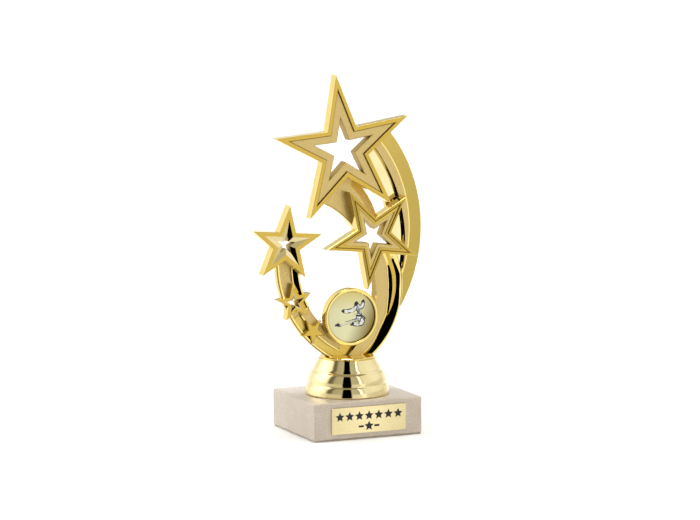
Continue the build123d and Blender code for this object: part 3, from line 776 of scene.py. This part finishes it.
# The riser's outside is a plain cone, then two tiers that each swell like half a sine wave over their
# height. A soft bell-shaped groove is taken out where two tiers meet: its depth times e to the minus
# square of the distance over its width.
def makeRiser(shape):
    height = riserTop - marbleTop
    oneFoot, twoFoot = height - shape["oneDrop"], height - shape["twoDrop"]
    level = np.linspace(shape["lip"], height - 0.3, 150)
    cone = np.interp(level, (0, twoFoot, oneFoot, height),
                     (shape["footRadius"] + 0.1, shape["twoRadius"], shape["oneRadius"], shape["topRadius"]))
    swell = (0.45 * np.sin(np.pi * np.clip((level - twoFoot) / (oneFoot - twoFoot), 0, 1))
             + 0.40 * np.sin(np.pi * np.clip(level / twoFoot, 0, 1)))
    for foot in (oneFoot, twoFoot):
        swell -= shape["grooveDepth"] * np.exp(-((level - foot) / shape["grooveWidth"]) ** 2)
    outer = np.c_[cone + swell, level]
    arc = np.radians(np.linspace(90, 0, 5))[:-1]
    lip = np.c_[outer[0, 0] - shape["lip"] * (1 - np.cos(arc)), shape["lip"] * (1 - np.sin(arc))]
    crown = [(outer[-1, 0] - 0.1, height - 0.08), (outer[-1, 0] - 0.3, height)]
    inside = [(shape["socket"], height), (shape["socket"], height - shape["roof"]),
              (shape["topRadius"] - shape["wall"], height - shape["roof"]),
              (shape["twoRadius"] - shape["wall"] + 0.8, 0.001)]
    profile = np.concatenate([lip, outer, crown, inside])
    profile[:, 1] += marbleTop
    makePiece("riserShell", *turnedShell(profile, np.full(len(profile), mirror), (0, 0), segments=256), goldSet,
              "gold_riser", ["riser"], sharp=35)


makeRiser(riserShape)

footShape = {"flangeInset": 0.65, "plug": 7.5, "bore": 2.8, "web": [(-10.2, -0.3), (-3.5, 6.3), (-3.5, 10.8),
             (2.0, 10.8), (3.5, 6.3), (-1.5, -0.3)], "webSetback": 3.0, "boss": 6.8, "lean": 0.6}


def makeFoot(shape):
    edge = riserShape["topRadius"] - shape["flangeInset"]
    bottom = lowest("figure_foot", 2)
    profile = [(shape["bore"], bottom), (shape["plug"], bottom), (shape["plug"], riserTop),
               (edge - 0.15, riserTop), (edge, riserTop + 0.15), (edge, seat - 0.3), (edge - 0.3, seat),
               (shape["bore"], seat)]
    flange = turnedShell(profile, np.full(len(profile), polished), (0, 0))
    corners = np.array(shape["web"]) + [figureShift, 0]
    low, high = corners[:, 1].min(), shape["boss"]
    # The web's face leans back as it rises, and stands out again behind the cup
    face = np.where(corners[:, 1] > high, ribbonFront - 0.02,
                    ribbonFront - shape["webSetback"] + shape["lean"] * (high - corners[:, 1]) / (high - low))
    count = len(corners)
    points = np.concatenate([np.c_[corners[:, 0], np.full(count, -ribbonBack - 0.01), seat + corners[:, 1]],
                             np.c_[corners[:, 0], -face, seat + corners[:, 1]]])
    faces = gridQuads(2, count, closeColumns=True).tolist()
    faces += [list(range(count)), [count, count + 1, count + 4, count + 5],
              [count + 1, count + 2, count + 3, count + 4]]
    web = (points, faces, np.full(len(faces), satin))
    makePiece("figureFoot", *joinShells(flange, web), goldSet, "gold_figure", ["figure_foot"], bevel=0.06)


makeFoot(footShape)

emblem = {"centre": (figureShift - 1.8, 20.2), "disc": 12.7, "clearance": 0.15, "cup": 14.6, "floor": 2.6,
          "edge": 0.8, "crown": 0.7, "ink": 0.05}
foil = emblemFoil(emblem)


def makeCup(shape):
    centre = (shape["centre"][0], seat + shape["centre"][1])
    hole = shape["disc"] + shape["clearance"]
    back, front = ribbonFront, cupFront
    arc = np.radians(np.linspace(0, 90, 6))
    outer = np.c_[shape["cup"] - 0.55 + 0.55 * np.cos(arc), front - 0.55 + 0.55 * np.sin(arc)]
    inner = np.c_[hole + 0.4 - 0.4 * np.sin(arc), front - 0.4 + 0.4 * np.cos(arc)]
    profile = np.concatenate([[(0.01, back), (shape["cup"] - 0.3, back), (shape["cup"], back + 0.3)], outer,
                              inner, [(hole, back + shape["floor"]), (0.01, back + shape["floor"])]])
    makePiece("emblemCup", *turnedShell(profile, np.full(len(profile), polished), centre, alongY=True,
              closed=False), goldSet, "gold_figure", ["emblem_cup"])


# Distance forward of the dome at a distance from its middle: a sphere's cap.
def domeLevel(shape, across):
    sphere = (shape["disc"] ** 2 + shape["crown"] ** 2) / (2 * shape["crown"])
    base = ribbonFront + shape["floor"] + 0.6 + shape["edge"] + shape["crown"] - sphere
    return base + np.sqrt(sphere ** 2 - across ** 2)


def makeDisc(shape):
    centre = (shape["centre"][0], seat + shape["centre"][1])
    across = np.concatenate([np.linspace(0.01, shape["disc"] - 0.25, 24), shape["disc"] - 0.25 * np.cos(
        np.radians(np.linspace(70, 90, 3)))])
    dome = domeLevel(shape, across) - shape["ink"]
    dome[-3:] -= np.array([0.02, 0.08, 0.2])
    back = ribbonFront + shape["floor"] + 0.6
    profile = np.concatenate([np.c_[across, dome], [(shape["disc"], back), (0.01, back)]])
    makePiece("emblemDisc", *turnedShell(profile, np.zeros(len(profile), int), centre, alongY=True,
              segments=128, closed=False), [foil], "emblem", ["emblem_disc"])


# Outline of a tapering stroke: points carried sideways by the half width, with round ends.
def strokeOutline(points, widths, capPoints=7):
    points, widths = np.array(points, float), np.array(widths, float) / 2
    run = np.gradient(points, axis=0)
    run /= np.hypot(*run.T)[:, None]
    side = np.c_[-run[:, 1], run[:, 0]]
    left, right = points + side * widths[:, None], points - side * widths[:, None]
    turn = np.linspace(0, np.pi, capPoints)[1:-1]
    end = np.arctan2(-side[-1, 1], -side[-1, 0]) + turn
    start = np.arctan2(side[0, 1], side[0, 0]) + turn
    endCap = points[-1] + widths[-1] * np.c_[np.cos(end), np.sin(end)]
    startCap = points[0] + widths[0] * np.c_[np.cos(start), np.sin(start)]
    return np.concatenate([right, endCap, left[::-1], startCap])


# A smooth line through a few points: each coordinate is the one polynomial that meets them all.
def curved(points, count=10):
    points = np.array(points, float)
    knots = np.linspace(0, 1, len(points))
    share = np.linspace(0, 1, count)
    return np.stack([np.polyval(np.polyfit(knots, points[:, k], len(points) - 1), share) for k in (0, 1)], 1)


# A sport pictogram: a plain figure kicking to the left. Each limb is its points from the disc's middle,
# then its width at the start and the end.
pictogram = {
    "limbs": [([(2.9, 4.9), (3.3, 2.4), (3.9, 0.2)], 2.9, 2.4),
              ([(2.0, 4.4), (-1.2, 3.2), (-4.4, 3.3)], 1.5, 1.0),
              ([(4.1, 4.9), (5.7, 5.2), (6.3, 7.3)], 1.4, 1.0),
              ([(3.6, 0.0), (-1.5, -1.6), (-7.0, -3.3)], 2.8, 1.5),
              ([(4.0, -0.2), (5.6, -2.0), (5.0, -3.5)], 2.6, 1.8),
              ([(5.2, -3.5), (2.8, -3.7), (0.9, -3.4)], 1.6, 1.2)],
    "dark": [([(-4.6, 3.3), (-5.3, 3.4)], 1.0, 0.8), ([(6.3, 7.4), (6.5, 8.1)], 0.9, 0.8),
             ([(-7.3, -3.4), (-8.6, -3.7)], 1.2, 1.0), ([(0.6, -3.4), (-0.6, -3.9)], 1.1, 0.8),
             ([(2.6, 0.7), (3.8, 0.4), (5.0, 0.7)], 0.7, 0.6),
             ([(5.0, 0.5), (6.4, 0.0), (7.5, -1.2)], 0.45, 0.3),
             ([(4.9, 0.3), (6.0, -0.8), (6.6, -2.0)], 0.4, 0.25), ([(2.3, 6.4), (2.6, 6.9)], 1.9, 1.8)],
    "shade": [([(3.3, 4.4), (3.7, 2.4), (4.3, 0.6)], 1.9, 1.5),
              ([(3.4, -0.9), (-1.4, -2.2), (-6.6, -3.6)], 0.9, 0.6)],
    "folds": [([(2.2, 4.0), (3.2, 2.6), (3.0, 1.4)], 0.3, 0.2),
              ([(4.2, 3.6), (3.8, 2.4), (4.2, 1.3)], 0.3, 0.2),
              ([(2.2, -0.9), (-0.8, -1.6), (-3.6, -2.2)], 0.3, 0.2),
              ([(4.4, -1.2), (4.6, -2.2), (3.9, -3.0)], 0.35, 0.2)],
    "line": 1.05}


# A stroke's outline laid on the dome: its front follows the dome, a layer's thickness proud.
def inkShell(shape, outline, layer, colour):
    level = domeLevel(shape, np.hypot(*outline.T)) - shape["ink"]
    place = outline + [shape["centre"][0], seat + shape["centre"][1]]
    return prismShell(place, level - 0.05, level + layer, colour)


def makePictogram(shape, drawing):
    thickness = shape["ink"] / 3
    layers = [("limbs", drawing["line"], 0, 0.6), ("limbs", 0.0, 1, 1.2), ("shade", 0.0, 2, 1.6),
              ("folds", 0.1, 0, 2.0), ("dark", 0.15, 0, 2.4)]
    shells = []
    for group, extra, colour, order in layers:
        for points, start, end in drawing[group]:
            line = curved(points, 10 if len(points) > 2 else 4)
            widths = np.linspace(start + extra, end + extra, len(line))
            shells.append(inkShell(shape, strokeOutline(line, widths), thickness * order, colour))
    makePiece("emblemPictogram", *joinShells(*shells), [inkBlack, inkWhite, inkGrey], "emblem")


makeCup(emblem)
makeDisc(emblem)
makePictogram(emblem, pictogram)
print("riser, foot and emblem made")

baseShape = {"edge": 0.8, "plateEdge": 0.12, "mark": 0.06, "stars": 7, "starTip": 2.5, "starNotch": 1.2,
             "spacing": 5.3, "row": 2.0, "lowRow": -3.3, "lowScale": 1.05, "bar": (2.9, 5.6, 0.5)}


def nodeBox(node):
    low, high = (np.array(corner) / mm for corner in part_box(node))
    return high - low, (high + low) / 2


def makeBase(shape):
    size, middle = nodeBox("marble_base")
    makePiece("marbleBlock", *roundedBoxShell(size, middle, shape["edge"], 8), [marble], "marble",
              ["marble_base"])
    size, middle = nodeBox("felt_sheet")
    sheet = makePiece("feltSheet", *roundedBoxShell(size, middle, 0.3, 4), [felt], "felt", ["felt_sheet"])


def makePlate(shape):
    size, middle = nodeBox("name_plate")
    front = -(middle[1] - size[1] / 2)
    face = front - shape["mark"]
    thick = size[1] - shape["mark"]
    plate = roundedBoxShell((size[0], thick, size[2]), (middle[0], thick / 2 - face, middle[2]),
                            shape["plateEdge"], 4)
    makePiece("namePlate", *plate, [plateGold], "plate", ["name_plate"])
    corner = np.arange(10)
    angle = np.radians(90 + 36 * corner)
    reach = np.where(corner % 2, shape["starNotch"], shape["starTip"])
    star = np.c_[reach * np.cos(angle), reach * np.sin(angle)]
    places = (np.arange(shape["stars"]) - (shape["stars"] - 1) / 2) * shape["spacing"]
    marks = [star + [x, shape["row"]] for x in places] + [star * shape["lowScale"] + [0, shape["lowRow"]]]
    near, far, half = shape["bar"]               # a short bar on each side of the lower star
    bar = np.array([(near, -half), (far, -half), (far, half), (near, half)])
    marks += [bar * [side, 1] + [0, shape["lowRow"]] for side in (-1, 1)]
    shells = [prismShell(mark + middle[[0, 2]], face - 0.05, front) for mark in marks]
    makePiece("plateMarks", *joinShells(*shells), [enamel], "plate")


makeBase(baseShape)
makePlate(baseShape)

for nodeName, material in (("hex_nut", steel), ("washer", steel), ("fixing_screw", steel),
                           ("plate_adhesive", foam), ("emblem_adhesive", foam)):
    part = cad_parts[nodeName]
    part.data.materials.clear()
    part.data.materials.append(material)
print("base made")

studio = {"floorSize": 12.0, "floorColours": ("#F4F4F4", "#F7F7F7"), "facing": -24.4,
          "eaves": (0.36, 0.33, 0.26, 1), "roof": 12.0, "underfoot": 0.95}
# Brightness of the room by its angle from the studio's middle, in degrees: a dark gap at the middle,
# grey screens beside it, and bright soft boxes and walls behind. The first list is what stands above
# the table's height, and the second is the table and the sweep below it.
upperBands = [(-180, 0.5), (-150, 1.0), (-128, 1.1), (-104, 2.2), (-84, 2.2), (-64, 1.1), (-56, 0.16),
              (-46, 0.2), (-38, 0.48), (-14, 0.56), (-12, 0.0), (12, 0.0), (14, 0.58), (37, 0.5), (39, 2.2),
              (44, 2.2), (46, 0.7), (54, 0.95), (100, 1.05), (130, 0.95), (150, 0.7), (180, 0.5)]
lowerBands = [(-180, 1.2), (-128, 1.1), (-104, 1.5), (-80, 1.3), (-55, 0.75), (-14.5, 0.7), (-12.5, 0.0),
              (12.5, 0.0), (14.5, 0.8), (40, 0.9), (45, 1.2), (52, 1.2), (58, 0.85), (80, 0.75), (120, 0.8),
              (150, 1.2), (180, 1.2)]


# Colours by direction. The share of the way round is atan2(x, -y), less the studio's own angle, over
# a full turn; the upward part of the direction, z, chooses between the rings of bands.
def makeRoom(light):
    world = bpy.data.worlds.new("studio")
    scene.world = world
    world.use_nodes = True
    tree = world.node_tree
    tree.nodes.clear()
    way = addNode(tree, "ShaderNodeTexCoord").outputs["Generated"]
    parts = addNode(tree, "ShaderNodeSeparateXYZ", {"Vector": way}).outputs
    bearing = calculate(tree, "ARCTAN2", parts["X"], calculate(tree, "MULTIPLY", parts["Y"], -1.0))
    turned = calculate(tree, "ADD", bearing, float(-np.radians(light["facing"])))
    share = calculate(tree, "MULTIPLY_ADD", turned, 1 / (2 * np.pi), 0.5)
    looped = calculate(tree, "FLOORED_MODULO", share, 1.0)

    def ring(bands):
        ramp = addNode(tree, "ShaderNodeValToRGB", {"Fac": looped})
        stops = ramp.color_ramp.elements
        for index, (angle, level) in enumerate(bands):
            stop = stops[index] if index < 2 else stops.new(angle / 360 + 0.5)
            stop.position = angle / 360 + 0.5
            warmth = min(level, 1.0)             # what is not lit looks warmer
            stop.color = (level, level * (0.94 + 0.06 * warmth), level * (0.72 + 0.28 * warmth), 1)
        return ramp.outputs["Color"]

    walls = blend(tree, span(tree, parts["Z"], start=0.26, end=0.12), ring(upperBands), ring(lowerBands))
    walls = blend(tree, span(tree, parts["Z"], start=0.76, end=0.84), walls, light["eaves"])
    walls = blend(tree, span(tree, parts["Z"], start=0.965, end=0.98), walls, (*[light["roof"]] * 3, 1))
    walls = blend(tree, span(tree, parts["Z"], start=-0.66, end=-0.80), walls, (*[light["underfoot"]] * 3, 1))
    seen = addNode(tree, "ShaderNodeLightPath").outputs["Is Camera Ray"]
    glow = addNode(tree, "ShaderNodeBackground", {"Color": blend(tree, seen, walls, (1.0, 1.0, 1.0, 1))})
    addNode(tree, "ShaderNodeOutputWorld", {"Surface": glow.outputs["Background"]})


# A flat pale floor. Mirror rays pass through it, so that bright metal shows only the room.
def makeFloor(light):
    half = light["floorSize"] / 2
    mesh = bpy.data.meshes.new("floor")
    mesh.from_pydata([(-half, -half, 0), (half, -half, 0), (half, half, 0), (-half, half, 0)], [],
                     [(0, 1, 2, 3)])
    floor = bpy.data.objects.new("floor", mesh)
    scene.collection.objects.link(floor)
    material, tree, shader, place = newMaterial("studio_floor")
    share = span(tree, grain(tree, place, 40.0))
    fill(tree, shader, {"Base Color": blend(tree, share, *light["floorColours"]), "Roughness": 0.9,
                        "Specular IOR Level": 0.0})
    clear = addNode(tree, "ShaderNodeBsdfTransparent")
    ray = addNode(tree, "ShaderNodeLightPath").outputs["Is Glossy Ray"]
    mixed = addNode(tree, "ShaderNodeMixShader", {0: ray, 1: shader.outputs["BSDF"], 2: clear.outputs["BSDF"]})
    fill(tree, tree.nodes["Material Output"], {"Surface": mixed.outputs["Shader"]})
    mesh.materials.append(material)


makeRoom(studio)
makeFloor(studio)
scene.view_settings.view_transform = "Standard"
print("studio made")
